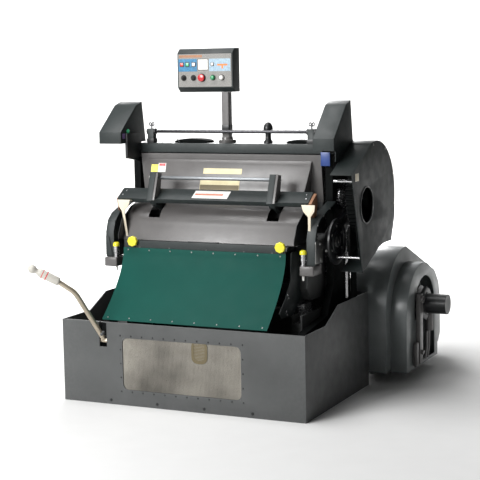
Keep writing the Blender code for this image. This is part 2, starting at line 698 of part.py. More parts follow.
def make_brake():
    hinge = (0.70, 0.16)
    arm = [(0.678, 0.12), (0.722, 0.12), (0.73, 0.30), (0.73, 0.47), (0.69, 0.47), (0.686, 0.30)]
    lever = plate_across("brake_arm", arm, 0.895, 0.915, "grey_paint")
    hang("brake_axis", (0, *hinge), lever)


def make_hand_lever():
    pivot = LEVER_PIVOT
    start, elbow = Vector(pivot), Vector(LEVER_ELBOW)
    grip_start, grip_end = Vector(GRIP_START), Vector(GRIP_END)
    route = [start, start.lerp(elbow, 0.94), elbow, elbow.lerp(grip_start, 0.15), grip_start]
    lever = pipe("hand_lever", route, 0.0105, "bright_steel")
    hub = rod("lever_hub", (pivot[0] - 0.02, *pivot[1:]), (pivot[0] + 0.02, *pivot[1:]), 0.0115)
    bore = rod("lever_bore", (pivot[0] - 0.1, *pivot[1:]), (pivot[0] + 0.1, *pivot[1:]), 0.0053)
    join(lever, hub)
    cut(lever, bore)
    base = grip_start.lerp(grip_end, 0.03)
    grip = rod("lever_grip", base, grip_end, 0.017, "white_plastic")
    hang("lever_axis", pivot, lever, grip)


def make_control_box():
    post_x, post_y, post_top = -0.051, 0.27, 1.617
    base_low, base_high = (post_x, post_y, BEAM_TOP + GAP), (post_x, post_y, 1.36)
    foot = rod("control_post", base_low, base_high, 0.04, "dark_paint")
    tube_low = (post_x - 0.022, post_y - 0.022, 1.35)
    tube_high = (post_x + 0.022, post_y + 0.022, post_top)
    join(foot, box("post_tube", tube_low, tube_high))
    low, high = (-0.335, 0.235, post_top + GAP), (0.005, 0.325, 1.857)
    case = box("control_box", low, high, "dark_paint", 0.004)
    pieces = [case]
    face, height = low[1] - GAP, 1.697
    spots = [
        ("selector_one", -0.295, 0.011, "black_rubber"),
        ("selector_two", -0.235, 0.011, "black_rubber"),
        ("stop_button", -0.183, 0.020, "red_plastic"),
        ("start_button", -0.115, 0.012, "green_plastic"),
        ("jog_button", -0.060, 0.012, "white_plastic"),
    ]
    for name, place, radius, finish in spots:
        back, front = (place, face, height), (place, face - 0.014, height)
        hang(f"{name}_axis", back, rod(name, back, front, radius, finish, sides=20))
        well = (place, low[1] + 0.006, height)
        cut(case, rod(f"{name}_well", well, front, radius + 0.001))
    hang("box_swivel", (post_x, post_y, post_top), *pieces)


make_materials()
make_base()
make_rear_frame()
make_cheeks()
make_bed()
make_top()
make_carriage()
hang("platen_axis", (0, *PIVOT), *make_platen(), *make_platen_covers(), *make_platen_trim())
make_safety_plank()
make_crank()
make_draw_bars()
make_counter_shaft()
make_drive_shaft()
make_belt_drive()
make_guards()
make_brake()
make_hand_lever()
make_control_box()
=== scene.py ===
"""The looks of the platen press: finishes, rounded sheet metal, and the small fittings.

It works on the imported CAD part. Metres, +Z up, +X to the operator's right, +Y away from them.
"""

import json
import math

import bmesh
import bpy
from mathutils import Matrix, Vector


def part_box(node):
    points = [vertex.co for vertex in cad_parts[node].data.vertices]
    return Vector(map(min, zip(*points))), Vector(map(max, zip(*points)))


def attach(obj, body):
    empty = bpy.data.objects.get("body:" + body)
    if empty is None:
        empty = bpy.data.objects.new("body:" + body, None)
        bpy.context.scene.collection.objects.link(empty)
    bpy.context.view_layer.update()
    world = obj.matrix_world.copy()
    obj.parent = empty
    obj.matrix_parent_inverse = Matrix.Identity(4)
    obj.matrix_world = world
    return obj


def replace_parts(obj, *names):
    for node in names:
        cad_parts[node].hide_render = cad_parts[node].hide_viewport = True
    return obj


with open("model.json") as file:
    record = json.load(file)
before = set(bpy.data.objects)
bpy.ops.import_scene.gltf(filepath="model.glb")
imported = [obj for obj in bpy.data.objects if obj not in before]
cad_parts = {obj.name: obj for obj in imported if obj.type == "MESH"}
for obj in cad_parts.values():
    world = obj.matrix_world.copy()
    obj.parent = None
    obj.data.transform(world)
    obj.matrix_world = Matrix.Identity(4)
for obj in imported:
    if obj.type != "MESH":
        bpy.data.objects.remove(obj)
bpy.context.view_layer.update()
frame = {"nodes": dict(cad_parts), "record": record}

NODES = frame["nodes"]
BODY_OF = {
    node: body for body, nodes in frame["record"]["behaviour"]["bodies"].items() for node in nodes
}
SIDES = (("right", 1), ("left", -1))
X, Y, Z = Vector((1, 0, 0)), Vector((0, 1, 0)), Vector((0, 0, 1))


# Finishes


def finish(name, colour, roughness, **look):
    """A Principled material with mottled colour, worn edges, uneven gloss and a fine bump.

    The look may give metallic, coat, mottle, wear, worn (the colour of a bare edge), grain (how
    many bumps to the metre), bump (their depth), specular and stretch (grain drawn out along X).
    """
    material = bpy.data.materials.new(name)
    material.use_nodes = True
    nodes, links = material.node_tree.nodes, material.node_tree.links
    shader = nodes["Principled BSDF"]
    shader.inputs["Metallic"].default_value = look.get("metallic", 0.0)
    shader.inputs["Coat Weight"].default_value = look.get("coat", 0.0)
    shader.inputs["Coat Roughness"].default_value = 0.25
    shader.inputs["Specular IOR Level"].default_value = look.get("specular", 0.5)
    place = nodes.new("ShaderNodeTexCoord").outputs["Object"]
    stretch = look.get("stretch")
    if stretch:
        mapping = nodes.new("ShaderNodeMapping")
        mapping.inputs["Scale"].default_value = stretch
        links.new(place, mapping.inputs["Vector"])
        place = mapping.outputs["Vector"]

    def noise(scale, detail):
        node = nodes.new("ShaderNodeTexNoise")
        node.inputs["Scale"].default_value = scale
        node.inputs["Detail"].default_value = detail
        links.new(place, node.inputs["Vector"])
        return node.outputs["Fac"]

    def spread(value, low, high):
        node = nodes.new("ShaderNodeMapRange")
        node.inputs["From Min"].default_value = 0.3
        node.inputs["From Max"].default_value = 0.7
        node.inputs["To Min"].default_value = low
        node.inputs["To Max"].default_value = high
        links.new(value, node.inputs["Value"])
        return node.outputs["Result"]

    def mix(amount, first, second):
        node = nodes.new("ShaderNodeMix")
        node.data_type = "RGBA"
        links.new(amount, node.inputs["Factor"])
        for socket, value in ((node.inputs["A"], first), (node.inputs["B"], second)):
            if isinstance(value, bpy.types.NodeSocket):
                links.new(value, socket)
            else:
                socket.default_value = (*value, 1)
        return node.outputs["Result"]

    mottle = look.get("mottle", 0.12)
    dark = [channel * (1 - mottle) for channel in colour]
    light = [min(1, channel * (1 + mottle)) for channel in colour]
    shade = mix(spread(noise(look.get("patches", 7), 5), 0, 1), dark, light)
    wear = look.get("wear", 0.35)
    if wear:
        ridge = nodes.new("ShaderNodeMapRange")
        ridge.inputs["From Min"].default_value = 0.53
        ridge.inputs["From Max"].default_value = 0.60
        ridge.inputs["To Max"].default_value = wear
        links.new(nodes.new("ShaderNodeNewGeometry").outputs["Pointiness"], ridge.inputs["Value"])
        broken = nodes.new("ShaderNodeMath")
        broken.operation = "MULTIPLY"
        links.new(ridge.outputs["Result"], broken.inputs[0])
        links.new(spread(noise(60, 3), 0.2, 1), broken.inputs[1])
        bare = look.get("worn", [min(1, channel * 1.9 + 0.03) for channel in colour])
        shade = mix(broken.outputs["Value"], shade, bare)
    links.new(shade, shader.inputs["Base Color"])
    swing = look.get("gloss_swing", 0.07)
    uneven = spread(noise(look.get("smears", 16), 4), roughness - swing, roughness + swing)
    links.new(uneven, shader.inputs["Roughness"])
    bump = nodes.new("ShaderNodeBump")
    bump.inputs["Strength"].default_value = look.get("strength", 0.35)
    bump.inputs["Distance"].default_value = look.get("bump", 0.0004)
    links.new(noise(look.get("grain", 260), 2), bump.inputs["Height"])
    links.new(bump.outputs["Normal"], shader.inputs["Normal"])
    return material


def lamp_finish(name, colour, glow):
    """A smooth finish that gives off a little light of its own colour."""
    material = finish(name, colour, 0.2, wear=0, mottle=0.05)
    shader = material.node_tree.nodes["Principled BSDF"]
    shader.inputs["Emission Color"].default_value = (*colour, 1)
    shader.inputs["Emission Strength"].default_value = glow
    return material


FINISH = {
    "dark": finish("dark_green_grey_paint", (0.019, 0.025, 0.025), 0.46, specular=0.35, wear=0.25),
    # painted shade: the guard paint is a darker copy of the dark green-grey paint, so the gear guard's
    # side reads as in shade
    "guard": finish("guard_paint_painted_shade", (0.010, 0.014, 0.014), 0.50, specular=0.3, wear=0.25),
    # a lighter grey for the belt and clutch guards, raised to carry painted light: the light that falls
    # on them from the right
    "housing": finish("housing_paint_and_painted_light", (0.14, 0.155, 0.155), 0.38, coat=0.25, wear=0.25),
    "skirt": finish("skirt_paint", (0.066, 0.069, 0.069), 0.50, coat=0.10, wear=0.30),
    "grey": finish("warm_grey_paint", (0.105, 0.100, 0.098), 0.36, coat=0.25, wear=0.25),
    "black": finish("black_paint", (0.010, 0.011, 0.012), 0.42, coat=0.1, wear=0.25),
    # painted shade: a near-black that stands in for shade on the side frames, the bull gear, the beam
    # covers and the sheet behind the gear guard's gaps
    "painted_shade_black": finish("painted_shade_near_black", (0.004, 0.005, 0.005), 0.75, wear=0, specular=0.1),
    "teal": finish(
        "teal_sheet", (0.0025, 0.062, 0.048), 0.6,
        wear=0.2, mottle=0.05, gloss_swing=0.03, specular=0.15,
    ),
    "steel": finish(
        "bright_steel", (0.60, 0.60, 0.61), 0.24, metallic=1, stretch=(1, 9, 9), wear=0.2
    ),
    "dull_steel": finish("dull_steel", (0.34, 0.34, 0.33), 0.38, metallic=1, wear=0.3),
    "cast": finish(
        "cast_iron", (0.085, 0.088, 0.088), 0.58, grain=420, bump=0.0012, wear=0.4, metallic=0.35
    ),
    "mesh": finish(
        "woven_wire", (0.27, 0.255, 0.225), 0.42, metallic=0.7, wear=0, patches=3.5, mottle=0.55
    ),
    "chrome": finish("dark_chrome", (0.045, 0.045, 0.05), 0.25, metallic=0.6, wear=0.2),
    "satin": finish("satin_bar", (0.20, 0.21, 0.22), 0.34, metallic=0.8, wear=0.2),
    "warm": finish("warm_steel", (0.46, 0.40, 0.31), 0.34, metallic=0.7, wear=0.2),
    "grip": finish("ivory_grip", (0.52, 0.50, 0.45), 0.35, wear=0.1, mottle=0.05),
    "copper": finish("copper_plate", (0.26, 0.13, 0.07), 0.5, metallic=0.3),
    "brass": finish("brass_plate", (0.52, 0.46, 0.28), 0.42, metallic=0.2, wear=0.1),
    "bronze": finish("bronze_print", (0.13, 0.105, 0.055), 0.42, metallic=0.2, wear=0),
    "salmon": finish("salmon_print", (0.62, 0.24, 0.16), 0.45, wear=0, mottle=0.3, patches=150),
    "cream": finish("cream_plate", (0.76, 0.68, 0.53), 0.42, wear=0.2, mottle=0.07),
    "white": finish("white_plastic", (0.78, 0.77, 0.73), 0.32, wear=0.1, mottle=0.04),
    "yellow": finish("yellow_plastic", (0.80, 0.72, 0.035), 0.27, wear=0.15, mottle=0.05, coat=0.3),
    "red": finish("red_plastic", (0.56, 0.018, 0.022), 0.26, wear=0.1, coat=0.4),
    "green": finish("green_plastic", (0.03, 0.30, 0.12), 0.28, wear=0.1, coat=0.3),
    "blue": finish("blue_plastic", (0.008, 0.045, 0.22), 0.35, wear=0.1),
    "print_blue": finish("blue_print", (0.03, 0.20, 0.38), 0.5, wear=0, mottle=0.3, patches=90),
    "sky": finish("pale_blue_print", (0.33, 0.46, 0.56), 0.5, wear=0, mottle=0.2, patches=120),
    "orange": finish("orange_label", (0.80, 0.22, 0.03), 0.45, wear=0),
    "purple": finish("purple_label", (0.24, 0.15, 0.36), 0.45, wear=0),
    "silver": finish(
        "speckled_plate", (0.27, 0.265, 0.25), 0.5, specular=0.3, patches=900, mottle=0.5, wear=0
    ),
    "rubber": finish("black_rubber", (0.014, 0.014, 0.014), 0.7, wear=0.1, grain=500),
    "wood": finish(
        "birch_plywood", (0.42, 0.29, 0.16), 0.62, stretch=(1, 1, 14), wear=0.1, mottle=0.25
    ),
    "lamp_red": lamp_finish("red_lamp", (0.62, 0.05, 0.04), 0.08),
    "lamp_green": lamp_finish("green_lamp", (0.06, 0.42, 0.20), 0.08),
    "lamp_white": lamp_finish("white_lamp", (0.70, 0.70, 0.66), 0.05),
}


# Shapes


def keep(name, bm, colour, body, smooth=30):
    """Turns a bmesh into a piece with one finish that rides on a body."""
    bmesh.ops.remove_doubles(bm, verts=bm.verts, dist=0.00002)
    bmesh.ops.recalc_face_normals(bm, faces=bm.faces)
    mesh = bpy.data.meshes.new(name)
    bm.to_mesh(mesh)
    bm.free()
    mesh.polygons.foreach_set("use_smooth", [True] * len(mesh.polygons))
    mesh.set_sharp_from_angle(angle=math.radians(smooth))
    piece = bpy.data.objects.new(name, mesh)
    bpy.context.scene.collection.objects.link(piece)
    mesh.materials.append(FINISH[colour])
    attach(piece, body)
    return piece


def round_edges(bm, width, segments=2, angle=25):
    """Bevels each edge sharper than the angle, so that it catches the light."""
    limit = math.radians(angle)
    edges = [e for e in bm.edges if len(e.link_faces) == 2 and e.calc_face_angle(0) > limit]
    bmesh.ops.bevel(
        bm, geom=edges, offset=width, segments=segments, affect="EDGES", profile=0.6,
        clamp_overlap=True, loop_slide=True,
    )


def add_prism(bm, outline, along, low, high, width=0.0, segments=2):
    """Adds a flat outline pushed along an axis ("x", "y" or "z") from low to high."""
    def place(point, depth):
        a, b = point
        return {"x": (depth, a, b), "y": (a, depth, b), "z": (a, b, depth)}[along]

    part = bmesh.new()
    near = [part.verts.new(place(point, low)) for point in outline]
    far = [part.verts.new(place(point, high)) for point in outline]
    part.faces.new(near)
    part.faces.new(reversed(far))
    for i in range(len(outline)):
        j = (i + 1) % len(outline)
        part.faces.new((near[i], far[i], far[j], near[j]))
    bmesh.ops.recalc_face_normals(part, faces=part.faces)
    if width:
        round_edges(part, width, segments)
    take(bm, part)


def take(bm, part):
    """Moves one bmesh into another."""
    mesh = bpy.data.meshes.new("passing")
    part.to_mesh(mesh)
    part.free()
    bm.from_mesh(mesh)
    bpy.data.meshes.remove(mesh)


def add_box(bm, low, high, width=0.001):
    """An upright box with its edges bevelled."""
    outline = [(low[0], low[1]), (high[0], low[1]), (high[0], high[1]), (low[0], high[1])]
    add_prism(bm, outline, "z", low[2], high[2], width)


def add_turned(bm, start, axis, profile, steps=24):
    """Adds a turned shape. The profile gives (distance along the axis, radius)."""
    axis = Vector(axis).normalized()
    turn = axis.to_track_quat("Z", "Y").to_matrix()
    rings = []
    for along, radius in profile:
        ring = []
        for i in range(steps):
            angle = math.tau * i / steps
            offset = Vector((radius * math.cos(angle), radius * math.sin(angle), along))
            ring.append(bm.verts.new(Vector(start) + turn @ offset))
        rings.append(ring)
    for first, second in zip(rings, rings[1:]):
        for i in range(steps):
            j = (i + 1) % steps
            bm.faces.new((first[i], first[j], second[j], second[i]))
    bm.faces.new(reversed(rings[0]))
    bm.faces.new(rings[-1])


def add_tube(bm, route, radius, steps=12):
    """Adds a round bar along a smooth route of points."""
    points = [Vector(point) for point in route]
    rings = []
    side = None
    for i, point in enumerate(points):
        ahead = points[min(i + 1, len(points) - 1)] - points[max(i - 1, 0)]
        ahead.normalize()
        if side is None:
            side = ahead.orthogonal().normalized()
        side = (side - ahead * side.dot(ahead)).normalized()
        up = ahead.cross(side)
        ring = []
        for k in range(steps):
            angle = math.tau * k / steps
            ring.append(bm.verts.new(point + radius * (math.cos(angle) * side + math.sin(angle) * up)))
        rings.append(ring)
    for first, second in zip(rings, rings[1:]):
        for k in range(steps):
            j = (k + 1) % steps
            bm.faces.new((first[k], first[j], second[j], second[k]))
    bm.faces.new(reversed(rings[0]))
    bm.faces.new(rings[-1])


def add_sheet(bm, corners, normal, thickness):
    """Adds a thin flat sheet on four corners."""
    lifted = [corner + normal * thickness for corner in corners]
    low = [bm.verts.new(corner) for corner in corners]
    high = [bm.verts.new(corner) for corner in lifted]
    bm.faces.new(low)
    bm.faces.new(reversed(high))
    for i in range(4):
        j = (i + 1) % 4
        bm.faces.new((low[i], high[i], high[j], low[j]))


def bend(corners, radius, steps=6):
    """A route whose corners are rounded."""
    corners = [Vector(corner) for corner in corners]
    route = [corners[0]]
    for before, corner, after in zip(corners, corners[1:], corners[2:]):
        back, ahead = (before - corner).normalized(), (after - corner).normalized()
        start, end = corner + back * radius, corner + ahead * radius
        for i in range(steps + 1):
            part = i / steps
            route.append(start.lerp(corner, part).lerp(corner.lerp(end, part), part))
    return route + [corners[-1]]


def add_screw(bm, spot, normal, radius=0.006, height=0.0025):
    """Adds a button-head screw with a round socket."""
    profile = [(0, radius), (height * 0.55, radius * 0.96), (height, radius * 0.66)]
    add_turned(bm, spot, normal, profile + [(height, radius * 0.42), (height * 0.4, radius * 0.40)], 12)


def rounded_outline(low, high, radius, steps=5):
    """A rectangle with round corners, from two opposite corners."""
    (x0, z0), (x1, z1) = low, high
    centres = [
        (x1 - radius, z1 - radius, 0), (x0 + radius, z1 - radius, 90),
        (x0 + radius, z0 + radius, 180), (x1 - radius, z0 + radius, 270),
    ]
    outline = []
    for x, z, start in centres:
        for i in range(steps + 1):
            angle = math.radians(start + 90 * i / steps)
            outline.append((x + radius * math.cos(angle), z + radius * math.sin(angle)))
    return outline


def middle(node):
    """The middle of a CAD node's box."""
    low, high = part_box(node)
    return [(a + b) / 2 for a, b in zip(low, high)]


def softened(node, colour, width, segments=2, angle=25):
    """A copy of a CAD node with rounded edges, which stands for it."""
    bm = bmesh.new()
    bm.from_mesh(NODES[node].data)
    bm.transform(NODES[node].matrix_world)
    bmesh.ops.remove_doubles(bm, verts=bm.verts, dist=0.00005)
    limit = math.radians(1)
    bmesh.ops.dissolve_limit(bm, angle_limit=limit, verts=bm.verts, edges=bm.edges)
    round_edges(bm, width, segments, angle)
    piece = keep(f"{node}_skin", bm, colour, BODY_OF[node])
    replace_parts(piece, node)
    return piece


def pierce(piece, front, holes):
    """Cuts round wells, given as (x, z, radius), 9 mm deep behind the level y = front."""
    wells = bmesh.new()
    for x, z, radius in holes:
        add_turned(wells, (x, front - 0.01, z), Y, [(0, radius), (0.019, radius)], 28)
    mesh = bpy.data.meshes.new("wells")
    wells.to_mesh(mesh)
    wells.free()
    tool = bpy.data.objects.new("wells", mesh)
    bpy.context.scene.collection.objects.link(tool)
    cut = piece.modifiers.new("wells", "BOOLEAN")
    cut.object, cut.operation, cut.solver = tool, "DIFFERENCE", "EXACT"
    graph = bpy.context.evaluated_depsgraph_get()
    piece.data = bpy.data.meshes.new_from_object(piece.evaluated_get(graph))
    piece.modifiers.clear()
    bpy.data.objects.remove(tool)


def coat(colour, *names):
    """Gives CAD nodes one finish, with their shape left as it is."""
    for name in names:
        mesh = NODES[name].data
        mesh.materials.clear()
        mesh.materials.append(FINISH[colour])


# The press


def paint_frame():
    """CAD nodes that keep their own shape."""
    # painted shade: the side frames and the bull gear take the near-black painted shade, which stands
    # in for the shade they lie in
    coat("painted_shade_black", "side_frame_right", "side_frame_left", "bull_gear")
    coat("cast", "base_plate", "bed", "platen_casting", "motor_pulley", "drive_chain")
    coat("steel", "rocker_carriage", "crank_shaft", "counter_shaft", "counter_plate", "chase")
    coat("wood", "cutting_forme")
    coat("rubber", "drive_belts")
    coat("mesh", "window_mesh")


ROUNDED = (
    ("base_skirt", "skirt", 0.003), ("sensor_cover_right", "dark", 0.0012),
    ("sensor_cover_left", "dark", 0.0012), ("arm_cover_right", "dark", 0.0012),
    ("arm_cover_left", "dark", 0.0012), ("back_panel", "grey", 0.0015),
    ("back_shroud", "grey", 0.0012), ("feed_strip", "black", 0.0015), ("apron", "teal", 0.0008),
    # the gear guard takes the darker guard paint (painted shade), the belt and clutch guards the
    # housing paint (painted light)
    ("safety_plank", "dark", 0.0025), ("gear_guard", "guard", 0.0015),
    ("belt_guard", "housing", 0.0018), ("clutch_guard", "housing", 0.0015),
    ("bearing_block_right", "grey", 0.002), ("bearing_block_left", "grey", 0.002),
    ("top_beam", "dark", 0.002), ("handrail", "satin", 0.001), ("round_bar", "chrome", 0.001),
    ("drive_shaft", "black", 0.002), ("motor", "black", 0.003), ("flywheel", "cast", 0.002),
    ("hand_lever", "warm", 0.001), ("brake_arm", "grey", 0.002), ("rear_frame", "cast", 0.003),
    ("draw_bar_right", "black", 0.003), ("draw_bar_left", "black", 0.003),
)


def round_the_metal():
    """Rounds the sheet metal and castings, and smooths what is turned."""
    for node, colour, width in ROUNDED:
        softened(node, colour, width)


# Base


WINDOW_LOW, WINDOW_HIGH = (-0.337, 0.085), (0.348, 0.36)


def make_base_fittings():
    """Round corners to the window, its rivets, and the bolts along the foot of the skirt."""
    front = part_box("base_skirt")[0][1]
    corner_r = 0.03
    corners = bmesh.new()
    for x, toward_x in ((WINDOW_LOW[0], 1), (WINDOW_HIGH[0], -1)):
        for z, toward_z in ((WINDOW_LOW[1], 1), (WINDOW_HIGH[1], -1)):
            outline = [(x, z)]
            for i in range(9):
                angle = math.radians(90 * i / 8)
                along = corner_r * (1 - math.sin(angle))
                up = corner_r * (1 - math.cos(angle))
                outline.append((x + toward_x * along, z + toward_z * up))
            add_prism(corners, outline, "y", front + 0.0003, front + 0.006)
    keep("window_corners", corners, "skirt", "root")
    rivets = bmesh.new()
    margin, across, upward = 0.011, 11, 4
    low_x, high_x = WINDOW_LOW[0] - margin, WINDOW_HIGH[0] + margin
    low_z, high_z = WINDOW_LOW[1] - margin, WINDOW_HIGH[1] + margin
    for i in range(across + 1):
        x = low_x + (high_x - low_x) * i / across
        for z in (low_z, high_z):
            add_screw(rivets, (x, front, z), -Y, 0.0045, 0.0022)
    for i in range(1, upward):
        z = low_z + (high_z - low_z) * i / upward
        for x in (low_x, high_x):
            add_screw(rivets, (x, front, z), -Y, 0.0045, 0.0022)
    for x in (-0.413, -0.137, 0.136, 0.41):
        add_screw(rivets, (x, front, 0.022), -Y, 0.008, 0.004)
    keep("skirt_rivets", rivets, "black", "root")


def make_window_mesh():
    """Woven wires in front of the dusty sheet, and the catch that hangs behind the window's top."""
    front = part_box("window_mesh")[0][1]
    pitch, wire = 0.0075, 0.0011
    wires = bmesh.new()
    columns = int((WINDOW_HIGH[0] - WINDOW_LOW[0]) / pitch)
    rows = int((WINDOW_HIGH[1] - WINDOW_LOW[1]) / pitch)
    for i in range(1, columns + 1):
        x = WINDOW_LOW[0] + i * pitch
        low, high = (x, front - 2 * wire, WINDOW_LOW[1]), (x + wire, front - wire, WINDOW_HIGH[1])
        add_box(wires, low, high, 0)
    for i in range(1, rows + 1):
        z = WINDOW_LOW[1] + i * pitch
        low, high = (WINDOW_LOW[0], front - 3 * wire, z), (WINDOW_HIGH[0], front - 2 * wire, z + wire)
        add_box(wires, low, high, 0)
    keep("window_wires", wires, "mesh", "root")
    tab = bmesh.new()
    outline = rounded_outline((0.068, 0.254), (0.160, 0.375), 0.035)
    inside = rounded_outline((0.083, 0.272), (0.145, 0.390), 0.022)
    plane = front - 4 * wire
    for a, b, c, d in zip(outline, outline[1:] + outline[:1], inside, inside[1:] + inside[:1]):
        add_prism(tab, [a, b, d, c], "y", plane, plane + 0.0008)
    add_prism(tab, outline, "y", plane + 0.0012, plane + 0.0020)
    keep("window_catch", tab, "bronze", "root")


# Platen fittings


def make_apron_fittings():
    """A row of screws along the apron's top edge and another along its lower lip."""
    low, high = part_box("apron")
    screws = bmesh.new()
    count = 8
    for i in range(count):
        x = low[0] + 0.03 + (high[0] - low[0] - 0.06) * i / (count - 1)
        add_screw(screws, (x, high[1] - 0.0045, high[2] - 0.012), (0, -1, 0.05), 0.0042, 0.002)
        add_screw(screws, (x, low[1] + 0.0125, low[2] + 0.0135), (0, -0.75, 0.66), 0.0042, 0.002)
    keep("apron_screws", screws, "dull_steel", "platen")


def make_cheeks():
    """Sheet cheeks that close the platen's sides behind the apron, with their screws."""
    outline = [(-0.125, 0.800), (-0.138, 0.660), (-0.215, 0.570), (-0.290, 0.510), (-0.265, 0.480)]
    outline += [(-0.120, 0.470), (0.020, 0.560), (0.060, 0.700), (0.060, 0.800)]
    for name, side in SIDES:
        low_x, high_x = sorted((side * 0.4895, side * 0.4935))
        cheek = bmesh.new()
        add_prism(cheek, outline, "x", low_x, high_x, 0.0008)
        keep(f"cheek_{name}", cheek, "dark", "platen")
        screws = bmesh.new()
        for y, z in ((-0.180, 0.590), (-0.168, 0.572), (-0.200, 0.505), (-0.190, 0.488)):
            add_screw(screws, (side * 0.4935, y, z), side * X, 0.006, 0.003)
        keep(f"cheek_screws_{name}", screws, "steel", "platen")


def make_strip_fittings():
    """The strip's front face and pale lip, and the slim lifting bar above it."""
    low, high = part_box("feed_strip")
    front = low[1] - 0.0045
    face = bmesh.new()
    add_box(face, (low[0], front, low[2] - 0.014), (high[0], low[1] - 0.0003, high[2] + 0.008), 0.0012)
    keep("strip_face", face, "dark", "platen")
    lip = bmesh.new()
    add_box(lip, (low[0] + 0.004, front - 0.0022, low[2] - 0.0135),
            (high[0] - 0.004, front - 0.0001, low[2] - 0.0085), 0.0005)
    keep("strip_lip", lip, "satin", "platen")
    screws = bmesh.new()
    for x in (-0.38, -0.20, 0.02, 0.24, 0.40):
        add_screw(screws, (x, front, low[2] - 0.001), -Y, 0.0045, 0.002)
    keep("strip_screws", screws, "cast", "platen")
    bar = bmesh.new()
    level, out = high[2] + 0.011, low[1] - 0.002
    route = [(-0.09, out + 0.008, level), (-0.085, out, level), (0.085, out, level)]
    add_tube(bar, bend(route + [(0.09, out + 0.008, level)], 0.003), 0.0028)
    keep("lifting_bar", bar, "black", "platen")


def field_point(across, level, lift=0.0):
    """A point on the panel's sloping field, or lifted off it."""
    bottom, top = Vector((0, 0.095, 1.040)), Vector((0, 0.158, 1.235))
    slope = (top - bottom).normalized()
    part = (level - bottom.z) / (top.z - bottom.z)
    return Vector((across, 0, 0)) + bottom.lerp(top, part) + lift * X.cross(slope)


def field_sheet(name, low, high, colour, lift=0.0002, thickness=0.0010):
    """A thin plate on the field, from two opposite corners given as (across, level)."""
    sheet = bmesh.new()
    places = ((low[0], low[1]), (high[0], low[1]), (high[0], high[1]), (low[0], high[1]))
    corners = [field_point(x, z, lift) for x, z in places]
    add_sheet(sheet, corners, (field_point(0, 1.1, 1) - field_point(0, 1.1)).normalized(), thickness)
    keep(name, sheet, colour, "platen")


def make_plates():
    """Plain plates and labels on the panel, with nothing on them."""
    field_sheet("plate_upper", (-0.139, 1.177), (0.093, 1.206), "brass")
    field_sheet("plate_lower", (-0.151, 1.091), (0.087, 1.149), "brass")
    field_sheet("plate_foot", (-0.149, 1.093), (0.085, 1.118), "bronze", 0.0013, 0.0003)
    field_sheet("yellow_tag", (-0.466, 1.182), (-0.424, 1.222), "yellow")
    field_sheet("white_tag", (-0.422, 1.182), (-0.375, 1.230), "white")
    field_sheet("red_tag", (-0.418, 1.214), (-0.379, 1.228), "red", 0.0013, 0.0003)


def plank_point(across, along, lift=0.0):
    """A point on the plank's upper face: along runs from its front edge to its back edge."""
    front, back = Vector((0, -0.067, 1.053)), Vector((0, 0.012, 1.103))
    slope = (back - front).normalized()
    return Vector((across, 0, 0)) + front.lerp(back, along) + lift * slope.cross(-X)


def make_plank_fittings():
    """End plates, screws, a plain label and the cream hooks at the ends of the plank."""
    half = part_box("safety_plank")[1][0]
    normal = (plank_point(0, 0, 1) - plank_point(0, 0)).normalized()
    screws = bmesh.new()
    for side in (1, -1):
        for inset, along in ((0.022, 0.35), (0.030, 0.75)):
            add_screw(screws, plank_point(side * (half - inset), along), normal, 0.006, 0.003)
    keep("plank_screws", screws, "steel", "plank")
    label = bmesh.new()
    corners = [plank_point(-0.115, 0.18), plank_point(0.095, 0.18)]
    corners += [plank_point(0.095, 0.86), plank_point(-0.115, 0.86)]
    add_sheet(label, corners, normal, 0.0008)
    keep("plank_label", label, "white", "plank")
    stripe = bmesh.new()
    corners = [plank_point(-0.105, 0.44, 0.0009), plank_point(0.060, 0.44, 0.0009)]
    corners += [plank_point(0.060, 0.60, 0.0009), plank_point(-0.105, 0.60, 0.0009)]
    add_sheet(stripe, corners, normal, 0.0004)
    keep("plank_label_stripe", stripe, "salmon", "plank")
    for name, side in SIDES:
        end = bmesh.new()
        outline = [(-0.064, 1.050), (0.010, 1.096), (0.020, 1.040), (-0.004, 0.962), (-0.050, 0.985)]
        x = side * (half + 0.0003)
        reach = 0.018 if side > 0 else 0.005
        add_prism(end, outline, "x", min(x, x + side * reach), max(x, x + side * reach), 0.0008)
        keep(f"plank_end_{name}", end, "copper", "plank")
        hook = bmesh.new()
        foot = 0.825 if side < 0 else 0.880
        out, lean = (0.030, 0.004) if side > 0 else (-0.034, -0.020)
        flat = [(0.507, 1.046), (0.583, 1.046), (0.579, 1.012), (0.559, 0.985)]
        flat += [(0.553 + lean, foot + 0.01), (0.547 + lean, foot), (0.541 + lean, foot + 0.01)]
        flat += [(0.543, 0.985), (0.517, 1.012)]
        outline = [(side * (x + out), z) for x, z in flat]
        add_prism(hook, outline, "y", -0.092, -0.086, 0.0015)
        low_x, high_x = sorted((side * (0.512 + out), side * 0.549))
        add_box(hook, (low_x, -0.0865, 1.036), (high_x, -0.045, 1.044), 0.001)
        keep(f"plank_hook_{name}", hook, "cream", "plank")


def make_rail_brackets():
    """Paler flanks and a nut on the channels that hold the handrail."""
    nut_profile = [(0, 0.009), (0.004, 0.009), (0.005, 0.007)]
    for name, side in SIDES:
        flank = bmesh.new()
        outline = [(-0.088, 1.048), (-0.014, 1.077), (0.006, 1.188), (-0.034, 1.193)]
        low_x = 0.3723 if side > 0 else -0.3382
        add_prism(flank, outline, "x", low_x, low_x + 0.014, 0.001)
        keep(f"rail_flank_{name}", flank, "grey", "plank")
        nuts = bmesh.new()
        add_turned(nuts, (side * 0.3865, -0.012, 1.165), side * X, nut_profile, 6)
        keep(f"rail_nut_{name}", nuts, "dull_steel", "plank")


